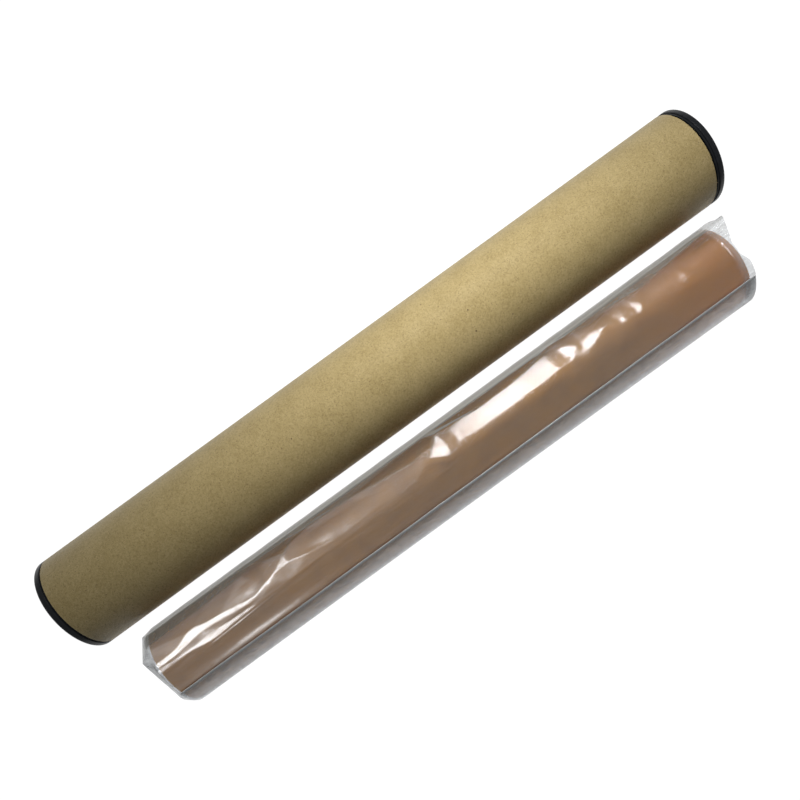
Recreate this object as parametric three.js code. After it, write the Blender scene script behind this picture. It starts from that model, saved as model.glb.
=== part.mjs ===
// A roll of adhesive copper foil in its clear film sleeve, lying beside its kraft storage tube with two
// push-in end caps. Millimetres, +Z up, +X along both axes, the table at z = 0.
// Angles round an axis are measured in degrees from straight up towards the roll's far side (-Y).
import * as THREE from "three";

// ---- Driving dimensions -------------------------------------------------------------------------
const SIDES = 40; // flats round every turned part, with one flat square to the table
const STEP = 360 / SIDES;
const LAYER_GAP = 0.1; // clearance between glued or rolled layers

const TUBE = { length: 330.2, radius: 22.75, plies: [0.5, 0.4, 0.4], seams: [160, 280, 40], seamGap: 0.3 };
const CAP = {
  rimRadius: TUBE.radius,
  rimThickness: 3.5,
  rimRound: 0.9,
  rimBore: 18.9,
  plugRadius: 20.95,
  ribHeight: 0.15,
  ribWidth: 1.2,
  plugDepth: 14,
  wall: 1.3,
  lead: 0.8,
};
const SEATED = { left: 0.1, right: 1.2 }; // how far each rim stands off the tube's end

const ROLL = { length: 304.8, radius: 19.15, offset: 2.1, coreBore: 15.0, corePlies: [0.75, 0.65], turns: 5 };
const STRIP = { foil: 0.09, adhesive: 0.05, liner: 0.15, gap: 0.05 };
const FILM = {
  gap: 0.3,
  wall: 0.35,
  slack: 1.035, // the sleeve stands looser on the side that faces the tube
  endRadius: 9,
  endReach: 4.8,
  endTaper: 0.9,
  mouthReach: 5.6,
  mouthWave: 1.8,
};
const FOLD = { from: 32, to: 202.5, wall: 0.4, endInset: 1.5, mouthReach: 4.2 };
const AXIS_SPACING = 48.0; // tube axis to roll axis across the table

// ---- Worked-out places --------------------------------------------------------------------------
const SLEEVE_RADIUS = ROLL.radius + FILM.gap + FILM.wall;
const FOLD_RADIUS = SLEEVE_RADIUS + FILM.gap + FOLD.wall;
const WIDTH = TUBE.radius + AXIS_SPACING + FOLD_RADIUS;
const TUBE_AT = { y: WIDTH / 2 - TUBE.radius, z: TUBE.radius };
const ROLL_AT = { y: TUBE_AT.y - AXIS_SPACING, z: FOLD_RADIUS };
const TUBE_SHIFT = (SEATED.left - SEATED.right) / 2; // centres the capped length on the origin
const TUBE_LOW = TUBE_SHIFT - TUBE.length / 2;
const TUBE_HIGH = TUBE_SHIFT + TUBE.length / 2;
const ROLL_LOW = ROLL.offset - ROLL.length / 2;
const ROLL_HIGH = ROLL.offset + ROLL.length / 2;

// ---- Materials ----------------------------------------------------------------------------------
const finish = (color, roughness, metalness = 0, opacity = 1) =>
  new THREE.MeshStandardMaterial({ color, roughness, metalness, opacity, transparent: opacity < 1 });
const KRAFT = finish(0xb08c58, 0.85);
const GREY_BOARD = finish(0xa08a68, 0.9);
const BLACK_PLASTIC = finish(0x141517, 0.4);
const COPPER = finish(0xb8764a, 0.3, 1);
const ADHESIVE = finish(0xd8cfae, 0.5, 0, 0.8);
const LINER_PAPER = finish(0xece8dd, 0.7);
const CLEAR_FILM = finish(0xf2f4f5, 0.1, 0, 0.3);

// ---- Shape helpers ------------------------------------------------------------------------------
const radians = (degrees) => (degrees * Math.PI) / 180;

/** The distance out to the flat-sided outline at an angle, for a given distance across to its flats. */
function outlineRadius(acrossFlats, angle) {
  const fromFlat = angle - STEP * Math.round(angle / STEP);
  return acrossFlats / Math.cos(radians(fromFlat));
}

/** Points of an arc in the extrusion's own plane; the radius may be a number or grow with the angle. */
function arc(acrossFlats, from, to) {
  const at = typeof acrossFlats === "function" ? acrossFlats : () => acrossFlats;
  const angles = [from];
  for (let a = STEP * (Math.floor(from / STEP) + 0.5); a < to - 0.01; a += STEP) if (a > from + 0.01) angles.push(a);
  angles.push(to);
  return angles.map((angle) => {
    const r = outlineRadius(at(angle), angle);
    return new THREE.Vector2(-r * Math.cos(radians(angle)), -r * Math.sin(radians(angle)));
  });
}

/** A sheet bent round an axis along X: an open ring or a spiral, between two x values. */
function bentSheet(outer, inner, from, to, low, high) {
  const shape = new THREE.Shape([...arc(outer, from, to), ...arc(inner, from, to).reverse()]);
  const geometry = new THREE.ExtrudeGeometry(shape, { depth: high - low, bevelEnabled: false });
  return geometry.rotateY(Math.PI / 2).translate(low, 0, 0);
}

/** A turned part about X from [radius across flats, x] pairs, listed so that its faces look out. */
function turned(profile) {
  const stretch = 1 / Math.cos(radians(STEP / 2));
  const points = profile.map(([r, x]) => new THREE.Vector2(r * stretch, x));
  return new THREE.LatheGeometry(points, SIDES, radians(STEP / 2)).rotateZ(-Math.PI / 2);
}

function place(group, name, geometry, material, at) {
  const mesh = new THREE.Mesh(geometry, material);
  mesh.name = name;
  mesh.position.set(0, at.y, at.z);
  group.add(mesh);
}

// ---- Kraft storage tube -------------------------------------------------------------------------
/** Three parallel-wound plies, each a sheet bent round until its edges nearly meet. */
function addTubePlies(group) {
  const names = ["tube_outer_ply", "tube_middle_ply", "tube_inner_ply"];
  let radius = TUBE.radius;
  names.forEach((name, i) => {
    const inner = radius - TUBE.plies[i];
    const halfGap = (TUBE.seamGap / 2 / radius) * (180 / Math.PI);
    const from = TUBE.seams[i] + halfGap;
    const to = TUBE.seams[i] + 360 - halfGap;
    place(group, name, bentSheet(radius, inner, from, to, TUBE_LOW, TUBE_HIGH), KRAFT, TUBE_AT);
    radius = inner - LAYER_GAP;
  });
}

/** The plug's outline on its way in: ribs that grip the tube's wall, as [radius, depth] pairs. */
function plugSide() {
  const side = [];
  for (const depth of [3, 7]) {
    side.push([CAP.plugRadius, depth]);
    side.push([CAP.plugRadius + CAP.ribHeight, depth + CAP.ribWidth / 2]);
    side.push([CAP.plugRadius, depth + CAP.ribWidth]);
  }
  return side;
}

/** A push-in end cap: a rim as wide as the tube, and a cup that plugs it, open to the outside. */
function addCap(group, name, end, outward) {
  const { rimRadius: r, rimThickness: t, rimRound: c, plugRadius: p, plugDepth: d, wall: w } = CAP;
  const half = c * (1 - Math.SQRT1_2);
  const cupRadius = p - w;
  const outline = [
    [0, -d],
    [p - CAP.lead, -d],
    [p, -d + 2 * CAP.lead],
    ...plugSide().reverse().map(([radius, depth]) => [radius, -depth]),
    [p, 0],
    [r - 0.2, 0],
    [r, 0.2],
    [r, t - c],
    [r - half, t - half],
    [r - c, t],
    [CAP.rimBore + 0.4, t],
    [CAP.rimBore, t - 0.4],
    [cupRadius - 1.2, -d + w + 1],
    [cupRadius - 2.2, -d + w],
    [0, -d + w],
  ];
  const profile = outline.map(([radius, out]) => [radius, end + outward * out]);
  place(group, name, turned(outward > 0 ? profile : profile.reverse()), BLACK_PLASTIC, TUBE_AT);
}

// ---- Copper foil roll ---------------------------------------------------------------------------
/** The two paper plies of the core that the foil is wound on. */
function addCore(group) {
  let radius = ROLL.coreBore;
  ["core_inner_ply", "core_outer_ply"].forEach((name, i) => {
    const outer = radius + ROLL.corePlies[i];
    const halfGap = (TUBE.seamGap / 2 / outer) * (180 / Math.PI);
    const seam = 100 + 150 * i;
    const sheet = bentSheet(outer, radius, seam + halfGap, seam + 360 - halfGap, ROLL_LOW, ROLL_HIGH);
    place(group, name, sheet, GREY_BOARD, ROLL_AT);
    radius = outer + LAYER_GAP;
  });
}

/** Foil, its adhesive and the release liner: three strips wound together, foil outermost. */
function addWinding(group) {
  const pitch = STRIP.foil + STRIP.adhesive + STRIP.liner + 3 * STRIP.gap;
  const from = 195;
  const to = from + 360 * ROLL.turns;
  const foilOutside = (angle) => ROLL.radius - (pitch * (to - angle)) / 360;
  const layers = [
    ["copper_foil", STRIP.foil, COPPER],
    ["adhesive_coat", STRIP.adhesive, ADHESIVE],
    ["release_liner", STRIP.liner, LINER_PAPER],
  ];
  let depth = 0;
  for (const [name, thickness, material] of layers) {
    const top = depth;
    const outer = (angle) => foilOutside(angle) - top;
    const inner = (angle) => foilOutside(angle) - top - thickness;
    place(group, name, bentSheet(outer, inner, from, to, ROLL_LOW, ROLL_HIGH), material, ROLL_AT);
    depth += thickness + STRIP.gap;
  }
}

// ---- Clear film ---------------------------------------------------------------------------------
/** The sleeve: tucked shut at the low end, with an open, uneven mouth at the high end. */
function addSleeve(group) {
  const outer = SLEEVE_RADIUS;
  const inner = outer - FILM.wall;
  const mouth = ROLL_HIGH + FILM.mouthReach;
  const shut = ROLL_LOW - FILM.endReach;
  const geometry = turned([
    [0, shut],
    [FILM.endRadius, shut],
    [outer, ROLL_LOW - FILM.endTaper],
    [outer, mouth],
    [inner, mouth],
    [inner, ROLL_LOW - FILM.endTaper + 0.15],
    [FILM.endRadius - 0.1, shut + FILM.wall],
    [0, shut + FILM.wall],
  ]);
  const p = geometry.getAttribute("position");
  for (let i = 0; i < p.count; i++) {
    const angle = Math.atan2(-p.getY(i), p.getZ(i));
    if (p.getX(i) > mouth - 0.5) p.setX(i, mouth + FILM.mouthWave * Math.sin(2 * angle - 0.9));
    if (p.getY(i) > 0) p.setY(i, p.getY(i) * FILM.slack);
  }
  place(group, "film_sleeve", geometry, CLEAR_FILM, ROLL_AT);
}

/** The spare film, folded over round the underside; its edge is the straight line along the roll. */
function addFold(group) {
  const inner = FOLD_RADIUS - FOLD.wall;
  const low = ROLL_LOW + FOLD.endInset;
  const high = ROLL_HIGH + FOLD.mouthReach;
  const sheet = bentSheet(FOLD_RADIUS, inner, FOLD.from, FOLD.to, low, high);
  place(group, "film_fold", sheet, CLEAR_FILM, ROLL_AT);
}

// ---- Assembly -----------------------------------------------------------------------------------
const part = new THREE.Group();
part.name = "copper_foil_roll_and_tube";
addTubePlies(part);
addCap(part, "cap_left", TUBE_LOW - SEATED.left, -1);
addCap(part, "cap_right", TUBE_HIGH + SEATED.right, 1);
addCore(part);
addWinding(part);
addSleeve(part);
addFold(part);

export default part;
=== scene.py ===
"""Looks for a roll of adhesive copper foil in a clear film sleeve, lying beside its kraft storage tube.

Everything is in metres in the part's own frame: +X along both axes, +Z up, the table at z = 0. Sizes that a
maker would quote are written in millimetres and turned to metres by MM. Angles round an axis are measured in
degrees from straight up towards the roll's outer side (-Y).
"""

import logging
import math
from dataclasses import dataclass
from enum import Enum
from typing import Any, Sequence, Union

import bmesh
import bpy
import numpy as np
from mathutils import Euler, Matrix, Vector
from mathutils.geometry import delaunay_2d_cdt


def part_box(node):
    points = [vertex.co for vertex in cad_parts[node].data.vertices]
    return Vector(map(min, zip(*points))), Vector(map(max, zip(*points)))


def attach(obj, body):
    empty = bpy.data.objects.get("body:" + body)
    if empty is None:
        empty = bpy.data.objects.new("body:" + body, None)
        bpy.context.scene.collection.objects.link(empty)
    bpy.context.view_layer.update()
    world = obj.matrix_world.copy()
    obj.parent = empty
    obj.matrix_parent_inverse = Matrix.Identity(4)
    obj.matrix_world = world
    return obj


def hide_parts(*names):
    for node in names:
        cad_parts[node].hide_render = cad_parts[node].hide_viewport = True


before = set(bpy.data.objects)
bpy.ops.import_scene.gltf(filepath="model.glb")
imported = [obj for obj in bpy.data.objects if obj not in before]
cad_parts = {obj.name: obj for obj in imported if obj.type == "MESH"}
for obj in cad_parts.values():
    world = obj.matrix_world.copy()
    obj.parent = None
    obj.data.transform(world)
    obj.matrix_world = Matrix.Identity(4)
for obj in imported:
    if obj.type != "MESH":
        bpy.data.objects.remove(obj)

MM = 0.001
FULL_TURN = 2 * math.pi
SMOOTH_BELOW = math.radians(35)
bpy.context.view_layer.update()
LOG = logging.getLogger("foil_roll")

Colour = tuple[float, float, float, float]


class Body(Enum):
    """The moving bodies of the part."""

    TUBE = "tube"
    CAP_LEFT = "cap_left"
    CAP_RIGHT = "cap_right"
    SLEEVE = "sleeve"
    ROLL = "roll"


class End(Enum):
    """The two ends of the tube, as the way out of each along X."""

    LEFT = -1
    RIGHT = 1


# ---- Node graphs ---------------------------------------------------------------------------------


class Value:
    """A node's output that takes part in ordinary sums."""

    def __init__(self, graph: "Graph", socket: bpy.types.NodeSocket) -> None:
        """Keeps the graph that new nodes go in, and the socket."""
        self.graph = graph
        self.socket = socket

    def _sum(self, operation: str, first: "Term", second: "Term" = 0.0) -> "Value":
        """Adds one Math node.

        Args:
            operation: the Math node's operation.
            first: its first value.
            second: its second value.

        Returns:
            The node's result.
        """
        node = self.graph.node("ShaderNodeMath", {"operation": operation}, {0: first, 1: second})
        return Value(self.graph, node.outputs[0])

    def __add__(self, other: "Term") -> "Value":
        """self + other."""
        return self._sum("ADD", self, other)

    def __radd__(self, other: "Term") -> "Value":
        """other + self."""
        return self._sum("ADD", other, self)

    def __sub__(self, other: "Term") -> "Value":
        """self - other."""
        return self._sum("SUBTRACT", self, other)

    def __rsub__(self, other: "Term") -> "Value":
        """other - self."""
        return self._sum("SUBTRACT", other, self)

    def __mul__(self, other: "Term") -> "Value":
        """self * other."""
        return self._sum("MULTIPLY", self, other)

    def __rmul__(self, other: "Term") -> "Value":
        """other * self."""
        return self._sum("MULTIPLY", other, self)

    def __truediv__(self, other: "Term") -> "Value":
        """self / other."""
        return self._sum("DIVIDE", self, other)

    def __pow__(self, other: "Term") -> "Value":
        """self ** other."""
        return self._sum("POWER", self, other)

    def __gt__(self, other: "Term") -> "Value":
        """1 where self is above other."""
        return self._sum("GREATER_THAN", self, other)

    def sine(self) -> "Value":
        """The sine of an angle in radians."""
        return self._sum("SINE", self)

    def cosine(self) -> "Value":
        """The cosine of an angle in radians."""
        return self._sum("COSINE", self)

    def at_most(self, limit: "Term") -> "Value":
        """The smaller of self and a limit."""
        return self._sum("MINIMUM", self, limit)

    def eased(self, low: float, high: float) -> "Value":
        """Rises smoothly from 0 at low to 1 at high.

        Args:
            low: where the rise starts.
            high: where it ends.

        Returns:
            The eased value.
        """
        settings = {"interpolation_type": "SMOOTHSTEP"}
        sockets = {"Value": self, "From Min": low, "From Max": high}
        return Value(self.graph, self.graph.node("ShaderNodeMapRange", settings, sockets).outputs[0])


Term = Union[Value, float, int]


class Graph:
    """A node tree that nodes are added to, for a finish or for a mesh."""

    def __init__(self, tree: bpy.types.NodeTree) -> None:
        """Keeps the tree."""
        self.tree = tree

    def node(self, kind: str, settings: dict[str, Any] | None = None,
             sockets: dict[Any, Any] | None = None) -> bpy.types.Node:
        """Adds a node.

        Args:
            kind: the node's type.
            settings: its properties, set first; "stops" gives a ramp's places and colours.
            sockets: its inputs by name or number, each a value, a Value or a socket to link.

        Returns:
            The new node.
        """
        made = self.tree.nodes.new(kind)
        for name, setting in (settings or {}).items():
            if name == "stops":
                self._set_stops(made.color_ramp, setting)
            else:
                setattr(made, name, setting)
        for key, given in (sockets or {}).items():
            if isinstance(given, Value):
                self.tree.links.new(given.socket, made.inputs[key])
            elif isinstance(given, bpy.types.NodeSocket):
                self.tree.links.new(given, made.inputs[key])
            else:
                made.inputs[key].default_value = given
        return made

    def value(self, kind: str, settings: dict[str, Any] | None = None,
              sockets: dict[Any, Any] | None = None, output: Any = 0) -> Value:
        """Adds a node, as node() does, and returns one of its outputs."""
        return Value(self, self.node(kind, settings, sockets).outputs[output])

    @staticmethod
    def _set_stops(ramp: bpy.types.ColorRamp, stops: Sequence[tuple[float, Colour]]) -> None:
        """Gives a ramp its stops, each a place and a colour."""
        while len(ramp.elements) < len(stops):
            ramp.elements.new(1.0)
        for element, (place, colour) in zip(ramp.elements, stops):
            element.position = place
            element.color = colour


class Shader(Graph):
    """The node tree of one material."""

    def __init__(self, name: str) -> None:
        """Makes an empty material of that name."""
        self.material = bpy.data.materials.new(name)
        self.material.use_nodes = True
        super().__init__(self.material.node_tree)
        self.tree.nodes.clear()

    def place(self, scale: Sequence[float], turn: float = 0.0, attribute: str = "") -> Value:
        """Coordinates in millimetres, scaled along each axis.

        Args:
            scale: how much each axis is scaled; the larger, the finer the pattern.
            turn: a turn about the third axis first, in degrees.
            attribute: the mesh attribute to read, already in millimetres, or none for Object coordinates.

        Returns:
            The vector.
        """
        if attribute:
            source = self.value("ShaderNodeAttribute", {"attribute_name": attribute}, output="Vector")
            unit = 1.0
        else:
            source = self.value("ShaderNodeTexCoord", output="Object")
            unit = 1 / MM
        sockets = {"Vector": source, "Rotation": (0.0, 0.0, math.radians(turn)), "Scale": (unit,) * 3}
        turned = self.value("ShaderNodeMapping", {}, sockets)
        return self.value("ShaderNodeVectorMath", {"operation": "MULTIPLY"}, {0: turned, 1: tuple(scale)})

    def noise(self, place: Value, scale: float = 1.0, detail: float = 3.0, rough: float = 0.5,
              warp: float = 0.0) -> Value:
        """A noise pattern between about 0.2 and 0.8.

        Args:
            place: where to read it.
            scale: its fineness.
            detail: how many finer layers it has.
            rough: how strong those are.
            warp: how far the pattern is bent by itself.

        Returns:
            The pattern.
        """
        sockets = {"Vector": place, "Scale": scale, "Detail": detail, "Roughness": rough, "Distortion": warp}
        return self.value("ShaderNodeTexNoise", {}, sockets)

    def blend(self, amount: Term, first: Any, second: Any, mode: str = "MIX") -> Value:
        """Mixes two colours.

        Args:
            amount: how much of the second colour.
            first: the first colour.
            second: the second colour.
            mode: the blend mode.

        Returns:
            The colour.
        """
        settings = {"data_type": "RGBA", "blend_type": mode}
        return self.value("ShaderNodeMix", settings, {0: amount, 6: first, 7: second}, output=2)

    def bump(self, height: Value, strength: float, depth: float) -> Value:
        """A Bump node's normal for a height pattern; depth is in metres."""
        sockets = {"Height": height, "Strength": strength, "Distance": depth}
        return self.value("ShaderNodeBump", {}, sockets, output="Normal")

    def surface(self, **sockets: Any) -> bpy.types.Node:
        """Adds the main shader; a socket's name has spaces as underscores."""
        named = {name.replace("_", " "): given for name, given in sockets.items()}
        return self.node("ShaderNodeBsdfPrincipled", {}, named)

    def finish(self, shader: bpy.types.NodeSocket) -> bpy.types.Material:
        """Links the last shader to the output and returns the material."""
        self.node("ShaderNodeOutputMaterial", {}, {"Surface": shader})
        return self.material


# ---- Finishes ------------------------------------------------------------------------------------


@dataclass(frozen=True)
class KraftPaper:
    """Smooth brown paper: cloudy tone, a worm-like grain, pale strands, dark specks and one short scratch.

    Marks are placed in millimetres: round the tube from the seam's own zero, then along it.
    """

    name: str = "kraft_paper"
    base: Colour = (0.465, 0.352, 0.150, 1.0)
    pale: Colour = (0.60, 0.47, 0.235, 1.0)
    deep: Colour = (0.33, 0.240, 0.095, 1.0)
    speck: Colour = (0.10, 0.06, 0.03, 1.0)
    rough: float = 0.50
    strand_turns: tuple[float, ...] = (12.0, 42.0, 52.0, 101.0, 147.0)
    scratch: tuple[tuple[float, float], tuple[float, float]] = ((150.8, 211.3), (163.0, 221.8))
    scratch_half: float = 0.16
    flecks: tuple[tuple[float, float, float], ...] = (
        (138.7, 209.5, 0.42), (147.6, 207.6, 0.5), (151.0, 224.6, 0.38), (138.9, 119.3, 0.36),
        (124.0, 195.5, 0.33))

    def make(self) -> bpy.types.Material:
        """Builds the paper's material on the lay attribute."""
        s = Shader(self.name)
        cloud = s.noise(s.place((0.09, 0.09, 1.0), attribute="lay"), detail=4.0, rough=0.6)
        mottle = s.noise(s.place((0.8, 0.55, 1.0), attribute="lay"), detail=3.0, rough=0.6)
        grain = s.noise(s.place((1.25, 1.25, 1.0), 20.0, "lay"), detail=2.0, rough=0.65, warp=1.1)
        tone = s.blend(cloud.eased(0.35, 0.65), self.deep, self.pale)
        colour = s.blend(0.75, tone, self.base)
        colour = s.blend(mottle.eased(0.3, 0.75) * 0.22, colour, self.pale)
        colour = s.blend(grain.eased(0.50, 0.66) * 0.52, colour, self.pale)
        colour = s.blend(grain.eased(0.50, 0.34) * 0.62, colour, self.deep)
        strands: Term = 0.0
        for index, turn in enumerate(self.strand_turns):
            place = s.place((0.22, 3.4, 1.0 + index), turn, "lay")
            strands = strands + s.noise(place, detail=1.0, warp=0.35).eased(0.64, 0.73)
        colour = s.blend(strands.at_most(1.0) * 0.42, colour, self.pale)
        dirt = s.noise(s.place((2.0, 1.8, 1.0), attribute="lay"), detail=0.0).eased(0.72, 0.78)
        colour = s.blend(dirt * 0.6, colour, self.speck)
        colour = s.blend(self._scratched(s) * 0.75, colour, self.pale)
        colour = s.blend(self._flecked(s) * 0.9, colour, self.speck)
        tooth = s.noise(s.place((3.0, 3.0, 1.0), attribute="lay"), detail=3.0, rough=0.65)
        height = tooth * 0.5 + strands * 0.6 + mottle + grain * 1.5
        rough = mottle * 0.16 + (self.rough - 0.08)
        main = s.surface(Base_Color=colour, Roughness=rough, Normal=s.bump(height, 0.55, 0.07 * MM),
                         Specular_IOR_Level=0.42)
        return s.finish(main.outputs[0])

    def _scratched(self, s: Shader) -> Value:
        """1 on the scratch, 0 elsewhere."""
        (x0, y0), (x1, y1) = self.scratch
        length = math.hypot(x1 - x0, y1 - y0)
        turn = math.degrees(math.atan2(y1 - y0, x1 - x0))
        turned = s.node("ShaderNodeSeparateXYZ", {}, {0: s.place((1.0, 1.0, 1.0), -turn, "lay")})
        sine, cosine = math.sin(math.radians(-turn)), math.cos(math.radians(-turn))
        along = Value(s, turned.outputs[0]) - (x0 * cosine - y0 * sine)
        off = Value(s, turned.outputs[1]) - (x0 * sine + y0 * cosine)
        ends = along.eased(0.0, length * 0.3) * along.eased(length, length * 0.8)
        return (off * off).eased(self.scratch_half ** 2, 0.0) * ends

    def _flecked(self, s: Shader) -> Value:
        """1 on the dark flecks, 0 elsewhere."""
        total: Term = 0.0
        flat = s.value("ShaderNodeVectorMath", {"operation": "MULTIPLY"},
                       {0: s.place((1.0, 1.0, 1.0), attribute="lay"), 1: (1.0, 1.0, 0.0)})
        for run, along, size in self.flecks:
            gap = s.value("ShaderNodeVectorMath", {"operation": "DISTANCE"}, {0: flat, 1: (run, along, 0.0)},
                          output="Value")
            total = total + gap.eased(size, size * 0.5)
        return total.at_most(1.0)


@dataclass(frozen=True)
class Paperboard:
    """Plain board or release paper: an even tone with fine tooth."""

    name: str
    base: Colour
    shade: Colour
    rough: float
    grain: float = 1.4

    def make(self) -> bpy.types.Material:
        """Builds the board's material on the lay attribute."""
        s = Shader(self.name)
        tone = s.noise(s.place((0.35, 0.3, 1.0), attribute="lay"), detail=4.0, rough=0.6)
        tooth = s.noise(s.place((self.grain, self.grain * 2, 1.0), attribute="lay"), detail=4.0, rough=0.65)
        colour = s.blend(tone.eased(0.3, 0.7) * 0.6 + tooth.eased(0.4, 0.7) * 0.3, self.base, self.shade)
        main = s.surface(Base_Color=colour, Roughness=tooth * 0.15 + (self.rough - 0.07),
                         Normal=s.bump(tooth, 0.3, 0.04 * MM))
        return s.finish(main.outputs[0])


@dataclass(frozen=True)
class BlackPlastic:
    """Satin moulded plastic with a fine mould texture and faint handling marks."""

    name: str = "black_plastic"
    base: Colour = (0.012, 0.013, 0.015, 1.0)
    worn: Colour = (0.035, 0.037, 0.042, 1.0)
    rough: float = 0.36

    def make(self) -> bpy.types.Material:
        """Builds the plastic's material on Object coordinates."""
        s = Shader(self.name)
        mould = s.noise(s.place((5.0, 5.0, 5.0)), detail=2.0)
        smear = s.noise(s.place((0.2, 0.35, 0.35)), detail=4.0, rough=0.6, warp=0.6)
        scuff = s.noise(s.place((3.0, 0.25, 0.25)), detail=3.0, warp=0.4).eased(0.62, 0.72)
        colour = s.blend(scuff * 0.6 + smear.eased(0.45, 0.75) * 0.3, self.base, self.worn)
        rough = smear * 0.22 + scuff * 0.12 + (self.rough - 0.11)
        main = s.surface(Base_Color=colour, Roughness=rough, Normal=s.bump(mould, 0.25, 0.02 * MM),
                         Specular_IOR_Level=0.22)
        return s.finish(main.outputs[0])


@dataclass(frozen=True)
class CopperFoil:
    """Bare rolled copper: satin, with faint rolling lines along the strip, patches of tarnish and a painted
    glow at the right end.
    """

    name: str = "copper_foil"
    base: Colour = (0.69, 0.39, 0.155, 1.0)
    warm: Colour = (0.74, 0.395, 0.115, 1.0)
    dull: Colour = (0.56, 0.325, 0.15, 1.0)
    # Painted reflection: the brighter, more orange colour painted towards the roll's right end.
    painted_glow: Colour = (0.90, 0.40, 0.06, 1.0)
    painted_glow_from: float = 225.0
    painted_glow_to: float = 305.0
    rough: float = 0.62

    def make(self) -> bpy.types.Material:
        """Builds the metal's material on the lay attribute, whose first axis runs along the strip."""
        s = Shader(self.name)
        lines = s.noise(s.place((0.03, 6.0, 1.0), attribute="lay"), detail=3.0, rough=0.7)
        tarnish = s.noise(s.place((0.03, 0.018, 1.0), attribute="lay"), detail=3.0, rough=0.55)
        cloud = s.noise(s.place((0.12, 0.08, 1.0), attribute="lay"), detail=3.0, rough=0.55, warp=0.3)
        colour = s.blend(tarnish.eased(0.35, 0.65), self.base, self.warm)
        colour = s.blend(cloud.eased(0.4, 0.75) * 0.45, colour, self.dull)
        across = Value(s, s.node("ShaderNodeSeparateXYZ", {},
                                 {0: s.place((1.0, 1.0, 1.0), attribute="lay")}).outputs[1])
        # Painted reflection: over its last stretch towards the right end the strip is painted brighter and
        # more orange.
        colour = s.blend(across.eased(self.painted_glow_from, self.painted_glow_to) * 0.85, colour, self.painted_glow)
        rough = lines * 0.10 + cloud * 0.12 + (self.rough - 0.11)
        main = s.surface(Base_Color=colour, Metallic=1.0, Roughness=rough,
                         Normal=s.bump(lines, 0.10, 0.01 * MM))
        return s.finish(main.outputs[0])


@dataclass(frozen=True)
class TackyCoat:
    """The clear, slightly cloudy adhesive on the foil's back."""

    name: str = "adhesive"
    base: Colour = (0.80, 0.74, 0.58, 1.0)
    milky: Colour = (0.90, 0.87, 0.78, 1.0)

    def make(self) -> bpy.types.Material:
        """Builds the adhesive's material on the lay attribute."""
        s = Shader(self.name)
        cloud = s.noise(s.place((0.5, 0.5, 1.0), attribute="lay"), detail=4.0, rough=0.6)
        colour = s.blend(cloud.eased(0.35, 0.65), self.base, self.milky)
        main = s.surface(Base_Color=colour, Roughness=cloud * 0.3 + 0.2,
                         Normal=s.bump(cloud, 0.3, 0.03 * MM))
        return s.finish(main.outputs[0])


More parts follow.
